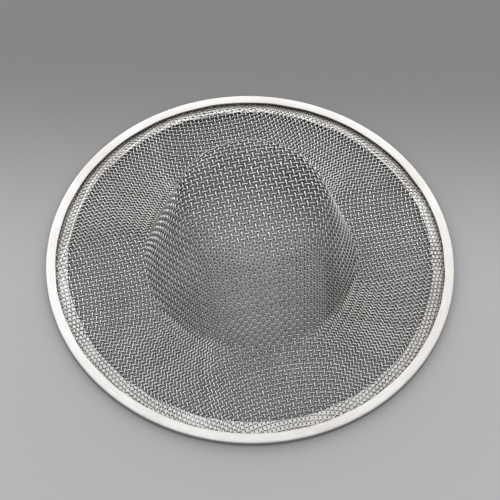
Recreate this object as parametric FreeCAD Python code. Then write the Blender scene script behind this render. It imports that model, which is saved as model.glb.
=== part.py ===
import FreeCAD, Part
import math
import os

# Sink strainer: a rim folded from one strip of sheet steel grips a disc of woven wire cloth,
# pressed into a dome with a flat crown. It lies on its rim, dome up, with +Z up and the origin
# at the centre of the rim's underside. Millimetres and degrees.

# Rim
rim_diameter = 72.0
sheet = 0.4
fold_radius = 0.5
hem_width = 1.65
seat_width = 2.05
flange_width = 4.0
flange_rise = 0.9
flats_per_bend = 2

# Wire cloth
wire = 0.26
layer_clearance = 0.13
straight_share = 0.88
clamp_clearance = 0.05
warp_pitch = 0.74
weft_pitch = 0.82
weave_turn = 14.0
crown_stretch = 0.16
warps_drawn_one_in = 4
wefts_drawn_one_in = 3

# Dome, measured on the middle of the cloth
dome_height = 22.3
crown_radius = 9.0
crown_edge_slope = 4.0
shoulder_radius = 4.5
wall_slope = 72.0
base_fillet = 1.8
brim_slope = 0.5
brim_bend = 0.8
flange_overlap = 0.3

Vector = FreeCAD.Vector

rim_radius = rim_diameter / 2
layer_offset = (wire + layer_clearance) / 2
cloth_thickness = 2 * layer_offset + wire
fold_gap = cloth_thickness + 2 * clamp_clearance
rim_thickness = 2 * sheet + fold_gap
wire_end = rim_radius - rim_thickness / 2
clamp_height = rim_thickness / 2
hem_edge = rim_radius - hem_width
seat_edge = rim_radius - seat_width
flange_edge = rim_radius - flange_width
flange_slope = math.atan2(flange_rise, seat_edge - flange_edge)


def rim_ring():
    """One strip bent round the cloth's edge: a flat seat below that rises inwards as a flange,
    a fold outside and a hem on top.
    """
    quarter = max(1, round(flats_per_bend))
    angles = [math.pi / 2 * k / quarter for k in range(quarter + 1)]
    bend_centre = rim_radius - fold_radius
    fold = [(bend_centre + fold_radius * math.sin(a), fold_radius * (1 - math.cos(a))) for a in angles]
    fold += [(radius, rim_thickness - height) for radius, height in fold[::-1]]
    hem = [(hem_edge, rim_thickness), (hem_edge, rim_thickness - sheet)]
    inside = [(rim_radius - sheet, rim_thickness - sheet), (rim_radius - sheet, sheet)]
    flange = [(seat_edge + sheet * math.tan(flange_slope / 2), sheet)]
    flange += [(flange_edge, flange_rise + sheet / math.cos(flange_slope)), (flange_edge, flange_rise)]
    section = fold + hem + inside + flange + [(seat_edge, 0)]
    corners = [Vector(radius, 0, height) for radius, height in section + section[:1]]
    return Part.Face(Part.makePolygon(corners)).revolve(Vector(), Vector(0, 0, 1), 360)


class Meridian:
    """The dome's half section from the apex outwards, as arcs and lines joined end to end.

    Each piece has its length along the section and its slope at both ends.
    """

    def __init__(self):
        top, wall = math.radians(crown_edge_slope), math.radians(wall_slope)
        brim = math.radians(brim_slope)
        crown_bend = crown_radius / math.sin(top)
        curves = [(crown_bend * top, 0, top), (shoulder_radius * (wall - top), top, wall)]
        foot = (base_fillet * (wall - brim), wall, brim)
        over_flange, brim_edge, brim_height = self.over_flange(brim)
        run, drop = 0, 0
        for piece in curves + [foot]:
            step = self.advance(piece, piece[0])
            run, drop = run + step[0], drop + step[1]
        # the wall is as long as the height that the curves and the sloping brim leave for it
        left_over = dome_height - brim_height - drop - (brim_edge - run) * math.tan(brim)
        wall_length = left_over / (math.sin(wall) - math.cos(wall) * math.tan(brim))
        self.base_radius = run + wall_length * math.cos(wall)
        brim_length = (brim_edge - self.base_radius) / math.cos(brim)
        self.pieces = curves + [(wall_length, wall, wall), foot, (brim_length, brim, brim)]
        self.pieces += over_flange + [(rim_radius, 0, 0)]
        self.starts = [(0, 0, dome_height)]
        for piece in self.pieces:
            length, radius, height = self.starts[-1]
            step = self.advance(piece, piece[0])
            self.starts.append((length + piece[0], radius + step[0], height - step[1]))
        ends = [start[0] for start in self.starts[1:]]
        self.crown_end, self.shoulder_end = ends[:2]
        self.foot_end, self.brim_end, fall_start, fall_end, flat_start = ends[3:8]
        self.wire_end = flat_start + wire_end - self.starts[-2][1]
        # each wire bends in the middle of both bends over the flange, and ends in the fold
        self.wire_bends = [(self.brim_end + fall_start) / 2, (fall_end + flat_start) / 2, self.wire_end]

    @staticmethod
    def over_flange(brim):
        """The cloth bends down over the flange, slopes with it and bends back into the fold.

        Also gives the radius and the height at which the brim ends.
        """
        inner_corner = flange_edge - flange_overlap
        outer_corner = seat_edge + clamp_height * math.tan(flange_slope / 2)
        bends = [flange_slope - brim, flange_slope]
        tangents = [brim_bend * math.tan(bend / 2) for bend in bends]
        fall = (outer_corner - inner_corner) / math.cos(flange_slope) - sum(tangents)
        corner_height = clamp_height + (outer_corner - inner_corner) * math.tan(flange_slope)
        pieces = [(brim_bend * bends[0], brim, flange_slope), (fall, flange_slope, flange_slope)]
        pieces.append((brim_bend * bends[1], flange_slope, 0))
        edge = inner_corner - tangents[0] * math.cos(brim)
        return pieces, edge, corner_height + tangents[0] * math.sin(brim)

    @staticmethod
    def advance(piece, along):
        """Run outwards and drop after a length along one piece, and the slope there."""
        length, first, last = piece
        slope = first + (last - first) * along / length
        if first == last:
            return along * math.cos(first), along * math.sin(first), slope
        bend = length / (last - first)
        return bend * (math.sin(slope) - math.sin(first)), bend * (math.cos(first) - math.cos(slope)), slope

    def at(self, along):
        index = len(self.pieces) - 1
        while index and along < self.starts[index][0]:
            index -= 1
        length, radius, height = self.starts[index]
        run, drop, slope = self.advance(self.pieces[index], along - length)
        return radius + run, height - drop, slope

    def stretch(self, along):
        """How far the press has drawn the cloth open: most on the crown, nothing on the brim."""
        share = (along - self.crown_end) / (self.foot_end - self.crown_end)
        share = min(max(share, 0), 1)
        return 1 + crown_stretch * (1 - share * share * (3 - 2 * share))


meridian = Meridian()


def on_cloth(place, offset=0):
    """Point and normal for a place laid out flat: its direction, and its length down the section."""
    along = math.hypot(*place)
    radius, height, slope = meridian.at(along)
    east, north = (place[0] / along, place[1] / along) if along else (1, 0)
    normal = Vector(math.sin(slope) * east, math.sin(slope) * north, math.cos(slope))
    return Vector(radius * east, radius * north, height) + normal * offset, normal


def next_crossing(beside, before, corner):
    """The crossing one warp pitch from one neighbour and one weft pitch from the other."""
    nudge, longest_move, close_enough = warp_pitch / 1000, warp_pitch / 3, warp_pitch / 1e6
    most_moves = 20
    neighbours = ((beside, warp_pitch), (before, weft_pitch))
    targets = [(on_cloth(place)[0], math.hypot(*place), pitch) for place, pitch in neighbours]

    def misses(east, north):
        point, along = on_cloth((east, north))[0], math.hypot(east, north)
        return [point.distanceToPoint(other) - pitch * meridian.stretch((along + far) / 2)
                for other, far, pitch in targets]

    east, north = beside[0] + before[0] - corner[0], beside[1] + before[1] - corner[1]
    for _ in range(most_moves):
        miss = misses(east, north)
        if max(abs(miss[0]), abs(miss[1])) < close_enough:
            break
        by_east = [(b - a) / nudge for a, b in zip(miss, misses(east + nudge, north))]
        by_north = [(b - a) / nudge for a, b in zip(miss, misses(east, north + nudge))]
        scale = by_east[0] * by_north[1] - by_north[0] * by_east[1]
        move_east = (miss[0] * by_north[1] - miss[1] * by_north[0]) / scale
        move_north = (by_east[0] * miss[1] - by_east[1] * miss[0]) / scale
        share = min(1, longest_move / max(math.hypot(move_east, move_north), nudge))
        east, north = east - move_east * share, north - move_north * share
    return [east, north]


def axis_crossings(pitch, reach):
    """Distances down the section at which the wires cross the middle wire of the other kind."""
    along = [0]
    while along[-1] < reach:
        middle = along[-1] + pitch / 2
        along.append(along[-1] + pitch * meridian.stretch(middle))
    return along


def cloth_net():
    """Crossings of one quarter of the cloth: wires keep their length and shear at the crossings."""
    reach = meridian.brim_end + 2 * flange_width
    east, north = axis_crossings(warp_pitch, reach), axis_crossings(weft_pitch, reach)
    net = {(i, 0): [along, 0] for i, along in enumerate(east)}
    net.update({(0, j): [0, along] for j, along in enumerate(north)})
    for i in range(1, len(east)):
        for j in range(1, len(north)):
            net[i, j] = next_crossing(net[i - 1, j], net[i, j - 1], net[i - 1, j - 1])
    return net, len(east) - 1, len(north) - 1


net, last_warp, last_weft = cloth_net()


def crossing(i, j):
    east, north = net[abs(i), abs(j)]
    return (math.copysign(east, i), math.copysign(north, j))


def straightened(places):
    """Leaves out the crossings that lie close to a straight run of the wire."""
    points = [on_cloth(place)[0] for place in places]
    in_rim = [math.hypot(*place) > meridian.brim_end for place in places]
    slack = [straight_share * (clamp_clearance if held else layer_clearance) for held in in_rim]

    def is_straight(first, last):
        run = points[last] - points[first]
        return all(points[k].distanceToLine(points[first], run) < slack[k] for k in range(first + 1, last))

    kept = [0]
    while kept[-1] < len(places) - 1:
        last = kept[-1] + 1
        while last + 1 < len(places) and is_straight(kept[-1], last + 1):
            last += 1
        kept.append(last)
    return [places[k] for k in kept]


def between(first, last, along):
    """The place at a length down the section, on the straight line between two crossings."""
    east, north = last[0] - first[0], last[1] - first[1]
    square = east * east + north * north
    middle = -(first[0] * east + first[1] * north) / square
    half_chord = math.sqrt(max(0, (along ** 2 - math.hypot(*first) ** 2) / square + middle ** 2))
    share = middle + math.copysign(half_chord, math.hypot(*last) - math.hypot(*first))
    return first[0] + east * share, first[1] + north * share


def wire_path(crossings):
    """The bends of one wire over the cloth, with its two ends inside the rim's fold."""
    lengths = [math.hypot(*place) for place in crossings]
    path = []
    for k in range(1, len(crossings)):
        low, high = sorted(lengths[k - 1:k + 1])
        passed = [along for along in meridian.wire_bends if low < along < high]
        passed.sort(reverse=lengths[k] < lengths[k - 1])
        path += [between(crossings[k - 1], crossings[k], along) for along in passed]
        if lengths[k] < meridian.wire_end:
            path.append(crossings[k])
    return straightened(path) if len(path) > 2 else []


def wire_solid(path, offset):
    """One wire as a square bar that follows the cloth, its flats square to the cloth."""
    placed = [on_cloth(place, offset) for place in path]
    half = wire / 2
    sections = []
    for k, (point, normal) in enumerate(placed):
        ahead = placed[min(k + 1, len(placed) - 1)][0] - placed[max(k - 1, 0)][0]
        across = ahead.cross(normal).normalize()
        rise = across.cross(ahead).normalize()
        corners = [point + across * (half * x) + rise * (half * y)
                   for x, y in ((-1, -1), (1, -1), (1, 1), (-1, 1), (-1, -1))]
        sections.append(Part.makePolygon(corners))
    bar = Part.makeLoft(sections, True, True)
    bar.rotate(Vector(), Vector(0, 0, 1), weave_turn)
    return bar


def zone(along, low_side, high_side, number):
    """The part of the dome that a wire passes over at its nearest to the middle."""
    if along < meridian.shoulder_end:
        return "crown"
    side = low_side if number < 0 else high_side
    return side + ("_wall" if along < meridian.foot_end else "_brim")


def wire_groups():
    """All drawn wires, gathered by the part of the dome that they pass over."""
    def drawn(last, one_in):
        step = max(1, round(one_in))
        return [k * step for k in range(-(last // step), last // step + 1)]

    warps, wefts = drawn(last_warp, warps_drawn_one_in), drawn(last_weft, wefts_drawn_one_in)
    groups = {}

    def add(name, path, offset):
        if path:
            groups.setdefault(name, []).append(wire_solid(path, offset))

    for i in warps:
        name = zone(net[abs(i), 0][0], "left", "right", i) + "_warp_wires"
        add(name, wire_path([crossing(i, j) for j in wefts]), layer_offset)
    for j in wefts:
        name = zone(net[0, abs(j)][1], "front", "back", j) + "_weft_wires"
        add(name, wire_path([crossing(i, j) for i in warps]), -layer_offset)
    return groups


os.makedirs("parts", exist_ok=True)
rim_ring().exportStep("parts/rim_ring.step")
for name, wires in sorted(wire_groups().items()):
    Part.makeCompound(wires).exportStep("parts/" + name + ".step")
    print(name, len(wires), "wires")
print("cloth fold gap", round(fold_gap, 3), "rim thickness", round(rim_thickness, 3))
print("dome base radius", round(meridian.base_radius, 2), "wires drawn to", round(wire_end, 2))
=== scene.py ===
import math
import bpy
import numpy as np
from mathutils import Matrix, Vector


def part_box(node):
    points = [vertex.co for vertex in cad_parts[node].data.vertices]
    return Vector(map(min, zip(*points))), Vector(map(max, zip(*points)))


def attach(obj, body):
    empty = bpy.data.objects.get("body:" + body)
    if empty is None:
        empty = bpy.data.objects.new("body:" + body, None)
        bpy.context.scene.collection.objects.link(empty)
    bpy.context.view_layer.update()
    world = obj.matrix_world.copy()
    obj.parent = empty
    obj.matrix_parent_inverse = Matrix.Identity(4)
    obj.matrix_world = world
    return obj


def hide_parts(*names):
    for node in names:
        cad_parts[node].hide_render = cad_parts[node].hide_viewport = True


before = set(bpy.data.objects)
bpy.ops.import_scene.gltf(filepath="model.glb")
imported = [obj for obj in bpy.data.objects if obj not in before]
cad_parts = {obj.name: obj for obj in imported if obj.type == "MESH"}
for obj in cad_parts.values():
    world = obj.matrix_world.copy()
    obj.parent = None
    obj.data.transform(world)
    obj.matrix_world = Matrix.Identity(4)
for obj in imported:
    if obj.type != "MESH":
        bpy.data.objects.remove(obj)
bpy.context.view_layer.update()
mm = 0.001  # sizes below are in millimetres, Blender's are in metres
rng = np.random.default_rng(72)

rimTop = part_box("rim_ring")[1]
rimRadius, rimThickness = rimTop.x / mm, rimTop.z / mm
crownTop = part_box("crown_warp_wires")[1].z / mm
print("frame: rim radius", round(rimRadius, 2), "thickness", round(rimThickness, 2),
      "top", round(crownTop, 2))


# the rim's sizes come first, because the cloth lies on its flange

rim = {
    "sheet": 0.4,
    "foldRadius": 0.5,
    "hemWidth": 1.76,
    "seatWidth": 0.8,  # from the outer edge to where the flange starts to rise
    "seatBend": 0.8,  # radius of the sheet's upper face there
    "flangeWidth": 4.0,
    "flangeRise": 1.15,
    "edgeRound": 0.15,
    "hemStray": 0.12,  # how far at most the hem's cut edge strays in and out
    "hemWaves": (5, 40),  # fewest and most waves round the rim
    "flangeStray": 0.36,
    "flangeWaves": (4, 30),
    "around": 480,
    "bendSteps": 8,  # flats for each radian of half a bend
    "fewestSteps": 3,
}

hemEdge, seatEdge, flangeEdge = (rimRadius - rim[k] for k in ("hemWidth", "seatWidth", "flangeWidth"))
flangeSlope = math.atan2(rim["flangeRise"], seatEdge - flangeEdge)


# the dome's half section, from the apex outwards

domeShape = {
    "crownRadius": 9.0,
    "crownEdgeSlope": 4.0,  # degrees
    "shoulderRadius": 4.5,
    "wallSlope": 72.0,
    "footRadius": 1.8,
    "brimSlope": 0.5,
    "brimBend": 0.9,
    "flangeOverlap": 0.3,  # how far inside the flange the cloth stays on its slope
    "halfCloth": 0.325,  # from the cloth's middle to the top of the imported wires
    "restHeight": -0.02,  # from the flange's upper face to the cloth's middle: it lies half sunk
    "brimWave": 0.28,  # how far at most the pressed brim waves up and down
    "brimWaves": (3, 9),
    "step": 0.02,  # along the section
}


def halfSection(d):
    # rows of distance from the apex, radius, height and slope
    top, wall, brim = (math.radians(d[k]) for k in ("crownEdgeSlope", "wallSlope", "brimSlope"))
    crownBend = d["crownRadius"] / math.sin(top)
    crown = (crownBend * top, 0, top)
    shoulder = (d["shoulderRadius"] * (wall - top), top, wall)
    foot = (d["footRadius"] * (wall - brim), wall, brim)

    # over the flange the cloth bends down, slopes with it and bends back into the fold
    rest = rim["sheet"] + d["restHeight"]
    inner = flangeEdge - d["flangeOverlap"]
    outer = seatEdge + rest * math.tan(flangeSlope / 2)
    turns = [flangeSlope - brim, flangeSlope]
    tangents = [d["brimBend"] * math.tan(turn / 2) for turn in turns]
    fall = (outer - inner) / math.cos(flangeSlope) - sum(tangents)
    overFlange = [(d["brimBend"] * turns[0], brim, flangeSlope), (fall, flangeSlope, flangeSlope),
                  (d["brimBend"] * turns[1], flangeSlope, 0)]
    brimEdge = inner - tangents[0] * math.cos(brim)
    brimHeight = rest + (outer - inner) * math.tan(flangeSlope) + tangents[0] * math.sin(brim)

    def run(piece):
        length, first, last = piece
        slopes = np.linspace(first, last, max(2, round(length / d["step"])))
        return slopes, length / (len(slopes) - 1)

    def reach(piece):
        slopes, step = run(piece)
        middle = (slopes[1:] + slopes[:-1]) / 2
        return np.cos(middle).sum() * step, np.sin(middle).sum() * step

    out, drop = np.array([reach(p) for p in (crown, shoulder, foot)]).sum(axis=0)
    height = crownTop - d["halfCloth"]
    left = height - brimHeight - drop - (brimEdge - out) * math.tan(brim)
    wallLength = left / (math.sin(wall) - math.cos(wall) * math.tan(brim))
    brimLength = (brimEdge - out - wallLength * math.cos(wall)) / math.cos(brim)
    pieces = [crown, shoulder, (wallLength, wall, wall), foot, (brimLength, brim, brim), *overFlange]
    pieces.append((rimRadius, 0, 0))  # on into the fold, longer than needed
    rows, ends = [[0, 0, height, 0]], []
    for piece in pieces:
        slopes, step = run(piece)
        for a, b in zip(slopes[:-1], slopes[1:]):
            along, radius, z, _ = rows[-1]
            middle = (a + b) / 2
            rows.append([along + step, radius + math.cos(middle) * step, z - math.sin(middle) * step, b])
        ends.append(rows[-1][0])
    return np.array(rows).T, ends


section, sectionEnds = halfSection(domeShape)
crownEnd, shoulderEnd, _, footEnd, brimEnd = sectionEnds[:5]
print("dome section:", len(section[0]), "points, foot at", round(footEnd, 2), "mm from the apex")


def unevenness(lowest, highest):
    # a few waves round the rim, with chance sizes and places
    turns = np.arange(lowest, highest + 1)
    sizes = rng.normal(0, 1, len(turns))
    sizes /= np.abs(sizes).sum()
    starts = rng.uniform(0, 2 * np.pi, len(turns))
    return lambda angle: sum(s * np.cos(n * angle + p) for s, n, p in zip(sizes, turns, starts))


brimWave = unevenness(*domeShape["brimWaves"])


def onDome(places):
    # a place is laid out flat: its direction, and its distance down the section
    along = np.hypot(places[..., 0], places[..., 1])
    radius, height, slope = (np.interp(along, section[0], row) for row in section[1:])
    onBrim = np.clip((along - footEnd) / (brimEnd - footEnd), 0, 1)
    sway = np.sin(np.pi * onBrim) ** 2 * brimWave(np.arctan2(places[..., 1], places[..., 0]))
    height = height + domeShape["brimWave"] * sway
    direction = places / np.maximum(along, 1e-9)[..., None]
    points = np.concatenate([direction * radius[..., None], height[..., None]], axis=-1)
    normals = np.concatenate([direction * np.sin(slope)[..., None], np.cos(slope)[..., None]], axis=-1)
    return points, normals


# the wire cloth: a square weave draped over the dome, where wires keep their length and shear

cloth = {
    "wire": 0.23,
    "warpPitch": 0.74,
    "weftPitch": 0.82,
    "turn": 14.0,  # degrees, of the whole weave
    "crownStretch": 0.16,  # how far the press has opened the mesh on the crown
    "crimp": 0.52,  # rise and fall of a wire, as a share of its thickness
    "stray": 0.025,  # how far a wire lies from its even place
    "sides": 6,
    "stepsPerPitch": 4,
    "pastBrim": 9,  # the net reaches this many pitches past the brim
    "foldEnd": 0.78,  # the wires end this far inside the rim's outer edge
    "flangeShade": 0.06,  # painted shade: over the flange the wires are painted dark this much higher up their sides
    "flangeShadeFrom": (-0.1, 0.3),  # outwards from the flange's inner edge
}


def stretchAt(along):
    share = np.clip((along - crownEnd) / (footEnd - crownEnd), 0, 1)
    return 1 + cloth["crownStretch"] * (1 - share * share * (3 - 2 * share))


def drapeQuarter():
    pitches = np.array([cloth["warpPitch"], cloth["weftPitch"]])
    reach = brimEnd + cloth["pastBrim"] * pitches.max()
    counts = (reach / pitches).astype(int)
    net = np.zeros((counts[0] + 1, counts[1] + 1, 2))
    for axis, (pitch, count) in enumerate(zip(pitches, counts)):
        for k in range(1, count + 1):
            before = net[k - 1, 0, 0] if axis == 0 else net[0, k - 1, 1]
            place = before + pitch * stretchAt(before + pitch / 2)
            net[(k, 0, 0) if axis == 0 else (0, k, 1)] = place

    nudge, longestMove, moves = pitches[0] / 1000, pitches[0] / 3, 12
    for diagonal in range(2, counts.sum() + 1):
        i = np.arange(max(1, diagonal - counts[1]), min(counts[0], diagonal - 1) + 1)
        j = diagonal - i
        neighbours = np.stack([net[i - 1, j], net[i, j - 1]], axis=1)
        targets = onDome(neighbours)[0]
        far = np.linalg.norm(neighbours, axis=2)

        def misses(places):
            gaps = np.linalg.norm(onDome(places)[0][:, None] - targets, axis=2)
            along = np.linalg.norm(places, axis=1)[:, None]
            return gaps - pitches * stretchAt((along + far) / 2)

        places = neighbours.sum(axis=1) - net[i - 1, j - 1]
        for _ in range(moves):
            miss = misses(places)
            slopes = [(misses(places + nudge * np.eye(2)[k]) - miss) / nudge for k in (0, 1)]
            step = np.linalg.solve(np.stack(slopes, axis=2), miss[..., None])[..., 0]
            size = np.linalg.norm(step, axis=1, keepdims=True)
            places = places - step * np.minimum(1, longestMove / np.maximum(size, nudge))
        net[i, j] = places
    return net


def drapeCloth():
    quarter = drapeQuarter()
    half = np.concatenate([quarter[:0:-1] * (-1, 1), quarter])
    return np.concatenate([half[:, :0:-1] * (1, -1), half], axis=1)


net = drapeCloth()
net += rng.normal(0, cloth["stray"], (net.shape[0], 1, 1)) * (1, 0)  # each warp strays sideways
net += rng.normal(0, cloth["stray"], (1, net.shape[1], 1)) * (0, 1)  # and each weft
print("cloth net:", net.shape[0], "warp and", net.shape[1], "weft wires")


def wireLine(crossings, lift):
    # a smooth line through one wire's crossings, which rises and falls by turns
    radii = np.interp(np.hypot(*crossings.T), section[0], section[1])
    foldEnd = rimRadius - cloth["foldEnd"]
    inside = np.flatnonzero(radii < foldEnd)
    if len(inside) < 4:
        return None
    first, last = inside[0] - 1, inside[-1] + 1
    ends = [k + (foldEnd - radii[k]) / (radii[n] - radii[k]) * (n - k) for k, n in
            ((inside[0], first), (inside[-1], last))]
    count = round((ends[1] - ends[0]) * cloth["stepsPerPitch"])
    at = np.linspace(ends[0], ends[1], count + 1)
    k = np.clip(at.astype(int), 1, len(crossings) - 3)
    t = (at - k)[:, None]
    a, b, c, d = (crossings[k + n] for n in (-1, 0, 1, 2))
    places = b + t / 2 * (c - a + t * (2 * a - 5 * b + 4 * c - d + t * (3 * b - a - 3 * c + d)))
    points, normals = onDome(places)
    rise = lift * cloth["crimp"] * cloth["wire"] * np.cos(np.pi * at)
    return points, normals, rise


def wireTube(points, normals, rise):
    # the tube's points, and how far each stands out of the cloth's middle, which sets its painted shade;
    # over the flange it is lowered, so the wires there are painted darker
    line = points + normals * rise[:, None]
    ahead = np.gradient(line, axis=0)
    ahead /= np.linalg.norm(ahead, axis=1, keepdims=True)
    across = np.cross(ahead, normals)
    across /= np.linalg.norm(across, axis=1, keepdims=True)
    up = np.cross(across, ahead)
    angles = np.pi / 2 + np.linspace(0, 2 * np.pi, cloth["sides"], endpoint=False)  # the crest comes first
    ring = np.cos(angles)[None, :, None] * across[:, None] + np.sin(angles)[None, :, None] * up[:, None]
    spokes = ring * cloth["wire"] / 2
    flangeShadeFrom = [flangeEdge + k for k in cloth["flangeShadeFrom"]]
    # painted shade: lower the stand over the flange, so more of each wire there is darkened
    flangeShadeDrop = np.interp(np.hypot(*points[:, :2].T), flangeShadeFrom, (0, -cloth["flangeShade"]))
    stand = np.abs(rise[:, None] + (spokes * normals[:, None]).sum(axis=2)) + flangeShadeDrop[:, None]
    return (line[:, None] + spokes).reshape(-1, 3), stand.reshape(-1)


def tubeFaces(count, start):
    sides = cloth["sides"]
    row, side = np.meshgrid(np.arange(count - 1), np.arange(sides), indexing="ij")
    beside = (side + 1) % sides
    quads = np.stack([row * sides + side, row * sides + beside, (row + 1) * sides + beside,
                      (row + 1) * sides + side], axis=-1)
    caps = [list(range(start + sides - 1, start - 1, -1)),
            list(range(start + (count - 1) * sides, start + count * sides))]
    return (quads.reshape(-1, 4) + start).tolist() + caps


def addMesh(name, points, faces, material):
    mesh = bpy.data.meshes.new(name)
    mesh.from_pydata((np.asarray(points) * mm).tolist(), [], faces)
    mesh.shade_smooth()
    mesh.materials.append(material)
    piece = bpy.data.objects.new(name, mesh)
    bpy.context.scene.collection.objects.link(piece)
    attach(piece, "root")
    return piece


# shared effects

def newGroup(name, inputs, outputs):
    group = bpy.data.node_groups.new(name, "ShaderNodeTree")
    for socket, kind, value in inputs:
        made = group.interface.new_socket(name=socket, in_out="INPUT", socket_type=kind)
        if value is not None:
            made.default_value = value
    for socket, kind in outputs:
        group.interface.new_socket(name=socket, in_out="OUTPUT", socket_type=kind)
    return group, group.nodes.new("NodeGroupInput"), group.nodes.new("NodeGroupOutput")


def addNode(tree, kind, inputs=(), **settings):
    node = tree.nodes.new(kind)
    for key, value in settings.items():
        setattr(node, key, value)
    for key, value in dict(inputs).items():
        if isinstance(value, bpy.types.NodeSocket):
            tree.links.new(value, node.inputs[key])
        else:
            node.inputs[key].default_value = value
    return node


def mixColors(tree, factor, first, second, blend="MIX"):
    mix = addNode(tree, "ShaderNodeMix", data_type="RGBA", blend_type=blend)
    for socket, value in zip((mix.inputs[0], mix.inputs[6], mix.inputs[7]), (factor, first, second)):
        if isinstance(value, bpy.types.NodeSocket):
            tree.links.new(value, socket)
        else:
            socket.default_value = value
    return mix.outputs[2]


def makeHandlingMarks():
    # soft blotches where the steel has been touched and rinsed
    group, given, result = newGroup(
        "handlingMarks",
        [("Scale", "NodeSocketFloat", 60.0), ("Clean", "NodeSocketColor", (0.8, 0.8, 0.8, 1)),
         ("Marked", "NodeSocketColor", (0.6, 0.6, 0.6, 1)), ("Smooth", "NodeSocketFloat", 0.25),
         ("Rough", "NodeSocketFloat", 0.4)],
        [("Color", "NodeSocketColor"), ("Roughness", "NodeSocketFloat")])
    place = addNode(group, "ShaderNodeTexCoord")
    clouds = addNode(group, "ShaderNodeTexNoise", {
        "Vector": place.outputs["Object"], "Scale": given.outputs["Scale"],
        "Detail": 4.0, "Roughness": 0.6}).outputs["Fac"]
    mask = addNode(group, "ShaderNodeMapRange", {"Value": clouds, "From Min": 0.35, "From Max": 0.65},
                   interpolation_type="SMOOTHSTEP").outputs["Result"]
    tint = mixColors(group, mask, given.outputs["Clean"], given.outputs["Marked"])
    rough = addNode(group, "ShaderNodeMapRange", {
        "Value": mask, "To Min": given.outputs["Smooth"], "To Max": given.outputs["Rough"]})
    group.links.new(tint, result.inputs["Color"])
    group.links.new(rough.outputs["Result"], result.inputs["Roughness"])
    return group


def makeSteelGrain():
    # fine lines or specks left by rolling and drawing, as a tone and as a height
    group, given, result = newGroup(
        "steelGrain",
        [("Vector", "NodeSocketVector", None), ("Scale", "NodeSocketFloat", 1000.0),
         ("Darkest", "NodeSocketFloat", 0.8)],
        [("Tone", "NodeSocketColor"), ("Height", "NodeSocketFloat")])
    lines = addNode(group, "ShaderNodeTexNoise", {
        "Vector": given.outputs["Vector"], "Scale": given.outputs["Scale"],
        "Detail": 3.0, "Roughness": 0.65}).outputs["Fac"]
    tone = addNode(group, "ShaderNodeMapRange", {
        "Value": lines, "From Min": 0.3, "From Max": 0.7,
        "To Min": given.outputs["Darkest"], "To Max": 1.0})
    group.links.new(tone.outputs["Result"], result.inputs["Tone"])
    group.links.new(lines, result.inputs["Height"])
    return group


handlingMarks, steelGrain = makeHandlingMarks(), makeSteelGrain()


def steel(name, values, grainPlace):
    material = bpy.data.materials.new(name)
    material.use_nodes = True
    tree = material.node_tree
    shader = tree.nodes["Principled BSDF"]
    shader.inputs["Metallic"].default_value = 1.0
    marks = addNode(tree, "ShaderNodeGroup", node_tree=handlingMarks)
    for key in ("Scale", "Clean", "Marked", "Smooth", "Rough"):
        marks.inputs[key].default_value = values[key]
    grain = addNode(tree, "ShaderNodeGroup", node_tree=steelGrain)
    grain.inputs["Scale"].default_value = values["grainScale"]
    grain.inputs["Darkest"].default_value = values["grainDarkest"]
    tree.links.new(grainPlace(tree), grain.inputs["Vector"])
    color = mixColors(tree, 1.0, marks.outputs["Color"], grain.outputs["Tone"], "MULTIPLY")
    tree.links.new(color, shader.inputs["Base Color"])
    tree.links.new(marks.outputs["Roughness"], shader.inputs["Roughness"])
    bump = addNode(tree, "ShaderNodeBump", {
        "Height": grain.outputs["Height"], "Strength": values["grainStrength"],
        "Distance": values["grainDepth"] * mm})
    tree.links.new(bump.outputs["Normal"], shader.inputs["Normal"])
    return material


def allWays(tree):
    return addNode(tree, "ShaderNodeTexCoord").outputs["Object"]


def roundTheRim(tree):
    # long lines round the rim, close together across it
    pace = 3 * mm  # how fast they change on the way round
    place = addNode(tree, "ShaderNodeTexCoord").outputs["Object"]
    flat = addNode(tree, "ShaderNodeVectorMath", {0: place, 1: (1, 1, 0)}, operation="MULTIPLY").outputs[0]
    around = addNode(tree, "ShaderNodeVectorMath", {0: flat}, operation="NORMALIZE").outputs[0]
    slow = addNode(tree, "ShaderNodeVectorMath", {0: around, "Scale": pace}, operation="SCALE").outputs[0]
    radius = addNode(tree, "ShaderNodeVectorMath", {0: flat}, operation="LENGTH").outputs["Value"]
    height = addNode(tree, "ShaderNodeSeparateXYZ", {0: place}).outputs["Z"]
    across = addNode(tree, "ShaderNodeMath", {0: radius, 1: height}, operation="ADD").outputs[0]
    upright = addNode(tree, "ShaderNodeCombineXYZ", {"Z": across}).outputs[0]
    return addNode(tree, "ShaderNodeVectorMath", {0: slow, 1: upright}, operation="ADD").outputs[0]


def shadeColor(tree, shade):
    shader = tree.nodes["Principled BSDF"]
    plain = shader.inputs["Base Color"].links[0].from_socket
    tree.links.new(mixColors(tree, 1.0, plain, shade, "MULTIPLY"), shader.inputs["Base Color"])


def paintRecessShade(material, values):
    # painted shade: the weave's colour is darkened down the wires' sides towards the gaps and left plain on
    # the knuckles, and each wire has its own random tone
    tree = material.node_tree
    stand = addNode(tree, "ShaderNodeAttribute", attribute_name="stand").outputs["Fac"]
    number = addNode(tree, "ShaderNodeAttribute", attribute_name="wireNumber").outputs["Fac"]
    low, high = values["recessDepths"]
    crest = addNode(tree, "ShaderNodeMapRange", {
        "Value": stand, "From Min": low, "From Max": high, "To Min": values["recessShadeTone"], "To Max": 1.0},
        interpolation_type="SMOOTHSTEP").outputs["Result"]
    tone = addNode(tree, "ShaderNodeMapRange", {
        "Value": number, "To Min": values["dullestWire"], "To Max": 1.0}).outputs["Result"]
    shadeColor(tree, addNode(tree, "ShaderNodeMath", {0: crest, 1: tone}, operation="MULTIPLY").outputs[0])


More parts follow.
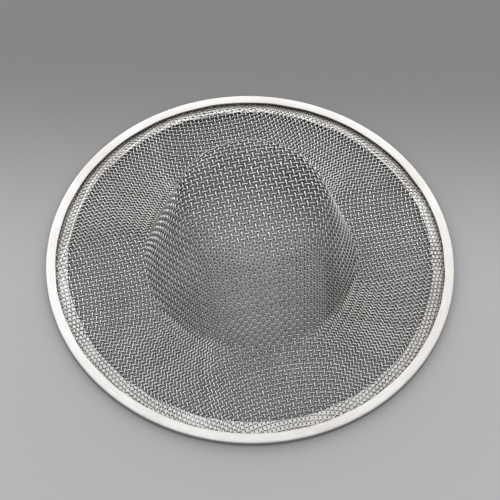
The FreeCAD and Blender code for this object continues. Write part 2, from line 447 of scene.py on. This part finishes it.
def paintUprightShade(material, values):
    # painted shade: the fold and the cut edges, where the sheet stands upright, are darkened in colour
    tree = material.node_tree
    normal = addNode(tree, "ShaderNodeTexCoord").outputs["Normal"]
    facing = addNode(tree, "ShaderNodeSeparateXYZ", {0: normal}).outputs["Z"]
    flat = addNode(tree, "ShaderNodeMath", {0: facing}, operation="ABSOLUTE").outputs[0]
    low, high = values["uprightFacing"]
    shade = addNode(tree, "ShaderNodeMapRange", {
        "Value": flat, "From Min": low, "From Max": high, "To Min": values["uprightShadeTone"], "To Max": 1.0},
        interpolation_type="SMOOTHSTEP").outputs["Result"]
    shadeColor(tree, shade)


wireLook = {
    "Scale": 90.0,
    "Clean": (0.96, 0.95, 0.93, 1),
    "Marked": (0.86, 0.845, 0.82, 1),
    "Smooth": 0.1,
    "Rough": 0.18,
    "grainScale": 1400.0,
    "grainDarkest": 0.8,
    "grainStrength": 0.25,
    "grainDepth": 0.01,
    # painted shade: the colour at the bottom of a wire's sides
    "recessShadeTone": 0.02,
    "recessDepths": (0.015, 0.15),  # from the cloth's middle, where a wire starts and ends to brighten
    "dullestWire": 0.72,
}

wireSteel = steel("drawnWireSteel", wireLook, allWays)
paintRecessShade(wireSteel, wireLook)

rimLook = {
    "Scale": 40.0,
    "Clean": (0.96, 0.955, 0.94, 1),
    "Marked": (0.89, 0.86, 0.835, 1),
    "Smooth": 0.55,
    "Rough": 0.68,
    "grainScale": 5000.0,
    "grainDarkest": 0.86,
    "grainStrength": 0.3,
    "grainDepth": 0.01,
    # painted shade on the upright fold and cut edges
    "uprightShadeTone": 0.36,
    "uprightFacing": (0.25, 0.8),  # 0 is upright and 1 is level
}

rimSteel = steel("rolledRimSteel", rimLook, roundTheRim)
paintUprightShade(rimSteel, rimLook)


def wireZone(along, number, lowSide, highSide):
    if along < shoulderEnd:
        return "crown"
    return (lowSide if number < 0 else highSide) + ("_wall" if along < footEnd else "_brim")


def weaveWires(kind, lowSide, highSide):
    warp = kind == "warp"
    lines = net if warp else net.transpose(1, 0, 2)
    middle, across = lines.shape[0] // 2, lines.shape[1] // 2
    turn = np.array(Matrix.Rotation(math.radians(cloth["turn"]), 3, "Z"))
    groups = {}
    for number in range(-middle, middle + 1):
        crossings = lines[number + middle]
        # the first crossing of the list is even or odd, and so is the wire
        lift = (1 if warp else -1) * (-1) ** (number + across)
        line = wireLine(crossings, lift)
        if line is None:
            continue
        zone = wireZone(np.hypot(*crossings[across]), number, lowSide, highSide)
        group = groups.setdefault(zone, {"tubes": [], "faces": [], "looks": []})
        tube, stand = wireTube(*line)
        group["faces"] += tubeFaces(len(line[0]), sum(len(other) for other in group["tubes"]))
        group["tubes"].append(tube @ turn.T)
        group["looks"].append(np.stack([stand, np.full(len(stand), rng.uniform(0, 1))]))
    for zone, group in groups.items():
        node = zone + "_" + kind + "_wires"
        tubes, faces = group["tubes"], group["faces"]
        piece = addMesh("woven_" + node, np.concatenate(tubes), faces, wireSteel)
        for name, values in zip(("stand", "wireNumber"), np.concatenate(group["looks"], axis=1)):
            attribute = piece.data.attributes.new(name, "FLOAT", "POINT")
            attribute.data.foreach_set("value", values.astype(np.float32))
        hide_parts(node)
        print("cloth:", node, len(tubes), "wires", len(faces), "faces")


weaveWires("warp", "left", "right")
weaveWires("weft", "front", "back")


# the rim: one strip folded round the edge of the cloth

def rimSection():
    # corners of the section, each with the radius that rounds it
    sheet, fold, small = rim["sheet"], rim["foldRadius"], rim["edgeRound"]
    low, high = sheet, rimThickness - sheet
    rise = rim["flangeRise"]
    crest = rise + sheet / math.cos(flangeSlope)
    bend = seatEdge + sheet * math.tan(flangeSlope / 2)
    corners = [(rimRadius, 0, fold), (rimRadius, rimThickness, fold), (hemEdge, rimThickness, small),
               (hemEdge, high, small), (rimRadius - sheet, high, small), (rimRadius - sheet, low, small),
               (bend, low, rim["seatBend"]), (flangeEdge, crest, small), (flangeEdge, rise, small),
               (seatEdge, 0, rim["seatBend"] + sheet)]
    points = []
    for k, (_, _, radius) in enumerate(corners):
        here, before, after = (np.array(corners[n % len(corners)][:2]) for n in (k, k - 1, k + 1))
        back, ahead = ((p - here) / np.linalg.norm(p - here) for p in (before, after))
        half = math.acos(np.clip(back @ ahead, -1, 1)) / 2
        inward = (back + ahead) / np.linalg.norm(back + ahead)
        centre = here + inward * radius / math.sin(half)
        start, end = here + back * radius / math.tan(half), here + ahead * radius / math.tan(half)
        steps = max(rim["fewestSteps"], round(rim["bendSteps"] * (math.pi / 2 - half)))
        for share in np.linspace(0, 1, steps + 1):
            spoke = (start + (end - start) * share) - centre
            points.append(centre + spoke / np.linalg.norm(spoke) * radius)
    return np.array(points)


def foldRim():
    outline = rimSection()
    angles = np.linspace(0, 2 * np.pi, rim["around"], endpoint=False)
    radius, height = (np.tile(row, (len(angles), 1)) for row in outline.T)
    # the cut edges stray, and the fold between them stays round
    foldStart = rimRadius - rim["foldRadius"]
    hemPart = np.clip((foldStart - outline[:, 0]) / (rim["hemWidth"] - rim["foldRadius"]), 0, 1)
    hemPart *= outline[:, 1] > rimThickness / 2
    hemPart[outline[:, 0] < hemEdge - rim["edgeRound"]] = 0
    flangePart = np.clip((seatEdge - outline[:, 0]) / (seatEdge - flangeEdge), 0, 1)
    radius += np.outer(unevenness(*rim["hemWaves"])(angles) * rim["hemStray"], hemPart)
    radius += np.outer(unevenness(*rim["flangeWaves"])(angles) * rim["flangeStray"], flangePart)
    points = np.stack([np.cos(angles)[:, None] * radius, np.sin(angles)[:, None] * radius, height], axis=-1)
    count = len(outline)
    turn, k = np.meshgrid(np.arange(rim["around"]), np.arange(count), indexing="ij")
    nextTurn, nextK = (turn + 1) % rim["around"], (k + 1) % count
    quads = np.stack([turn * count + k, nextTurn * count + k, nextTurn * count + nextK,
                      turn * count + nextK], axis=-1).reshape(-1, 4)
    piece = addMesh("folded_rim", points.reshape(-1, 3), quads.tolist(), rimSteel)
    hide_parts("rim_ring")
    print("rim:", len(quads), "faces")


foldRim()


# floor, light and camera

studio = {
    "floorColor": (0.465, 0.465, 0.47),
    "floorFar": (0.232, 0.232, 0.237),  # painted shade: the floor's colour darkens towards the back
    "floorFade": (-8.0, 46.0),  # from the rim's centre to the back
    "floorRough": 0.9,
    "floorGloss": 0.1,
    "floorSize": 3.0,  # metres
    "lowAim": (-0.12, 0.99),  # where the broad low light stands, seen from above
    "lowWidth": (0.15, 0.8),  # cosines of the angles from there, at which it starts and is full
    "lowHeight": 0.52,  # sine of the height at which it ends, as are the other heights here
    "lowSoftness": 0.2,
    "lowBright": 1.8,
    "overhead": 0.92,
    "overheadHeights": (0.3, 0.9),
    "around": 0.8,
    "horizonHeight": 0.2,
}


def layFloor():
    half = studio["floorSize"] / 2
    mesh = bpy.data.meshes.new("floor")
    corners = [(-half, -half, 0), (half, -half, 0), (half, half, 0), (-half, half, 0)]
    mesh.from_pydata(corners, [], [(0, 1, 2, 3)])
    floor = bpy.data.objects.new("floor", mesh)
    bpy.context.scene.collection.objects.link(floor)
    material = bpy.data.materials.new("paleFloor")
    material.use_nodes = True
    tree = material.node_tree
    shader = tree.nodes["Principled BSDF"]
    place = addNode(tree, "ShaderNodeTexCoord").outputs["Object"]
    back = addNode(tree, "ShaderNodeSeparateXYZ", {0: place}).outputs["Y"]
    # painted shade: the floor's colour darkens towards the back
    near, far = studio["floorFade"]
    backShade = addNode(tree, "ShaderNodeMapRange", {"Value": back, "From Min": near * mm, "From Max": far * mm},
                   interpolation_type="SMOOTHSTEP").outputs["Result"]
    color = mixColors(tree, backShade, (*studio["floorColor"], 1), (*studio["floorFar"], 1))
    tree.links.new(color, shader.inputs["Base Color"])
    shader.inputs["Roughness"].default_value = studio["floorRough"]
    shader.inputs["Specular IOR Level"].default_value = studio["floorGloss"]
    mesh.materials.append(material)


def lightSky():
    world = bpy.data.worlds.new("studio")
    bpy.context.scene.world = world
    world.use_nodes = True
    tree = world.node_tree
    background = tree.nodes["Background"]
    background.inputs["Color"].default_value = (1, 1, 1, 1)
    place = addNode(tree, "ShaderNodeTexCoord").outputs["Generated"]

    def ramp(value, start, end, low, high):
        return addNode(tree, "ShaderNodeMapRange", {
            "Value": value, "From Min": start, "From Max": end, "To Min": low, "To Max": high},
            interpolation_type="SMOOTHSTEP").outputs["Result"]

    def join(first, second, operation):
        return addNode(tree, "ShaderNodeMath", {0: first, 1: second}, operation=operation).outputs[0]

    height = addNode(tree, "ShaderNodeSeparateXYZ", {0: place}).outputs["Z"]
    flat = addNode(tree, "ShaderNodeVectorMath", {0: place, 1: (1, 1, 0)}, operation="MULTIPLY").outputs[0]
    compass = addNode(tree, "ShaderNodeVectorMath", {0: flat}, operation="NORMALIZE").outputs[0]
    lowFacing = addNode(tree, "ShaderNodeVectorMath", {0: compass, 1: (*studio["lowAim"], 0)},
                        operation="DOT_PRODUCT").outputs["Value"]
    lowEnd, soft = studio["lowHeight"], studio["lowSoftness"]
    lowLight = join(ramp(lowFacing, *studio["lowWidth"], 0, studio["lowBright"]),
                    ramp(height, lowEnd - soft, lowEnd + soft, 1, 0), "MULTIPLY")
    overhead = ramp(height, *studio["overheadHeights"], studio["around"], studio["overhead"])
    # near the horizon the sky is as grey as the floor's far side
    grey = studio["floorFar"][0]
    clear = ramp(height, 0.0, studio["horizonHeight"], 0, 1)
    above = join(join(join(lowLight, overhead, "ADD"), grey, "SUBTRACT"), clear, "MULTIPLY")
    tree.links.new(join(above, grey, "ADD"), background.inputs["Strength"])


view = {
    "elevation": 57.7,  # degrees above the rim's plane
    "roll": 1.8,
    "distance": 9.0,  # in rim radii
    "lens": 131.9,
    "sensor": 36.0,  # mm wide
    "nearest": 0.01,  # metres
    "raise": 2.33,  # mm, the aim stands this far up the picture from the rim's centre
    "aside": -0.11,
}


def setCamera():
    tilt = math.radians(view["elevation"])
    back = Vector((0, -math.cos(tilt), math.sin(tilt)))
    up = Vector((0, math.sin(tilt), math.cos(tilt)))
    data = bpy.data.cameras.new("camera")
    data.sensor_width = view["sensor"]
    data.lens = view["lens"]
    data.clip_start = view["nearest"]
    camera = bpy.data.objects.new("camera", data)
    bpy.context.scene.collection.objects.link(camera)
    right = up.cross(back)
    turn = Matrix((right, up, back)).transposed()
    turn = turn @ Matrix.Rotation(math.radians(view["roll"]), 3, "Z")
    spot = up * view["raise"] * mm + right * view["aside"] * mm + back * view["distance"] * rimRadius * mm
    camera.matrix_world = Matrix.Translation(spot) @ turn.to_4x4()
    bpy.context.scene.camera = camera


layFloor()
lightSky()
setCamera()
bpy.context.scene.view_settings.view_transform = "Standard"
print("studio: floor, sky and camera are set")
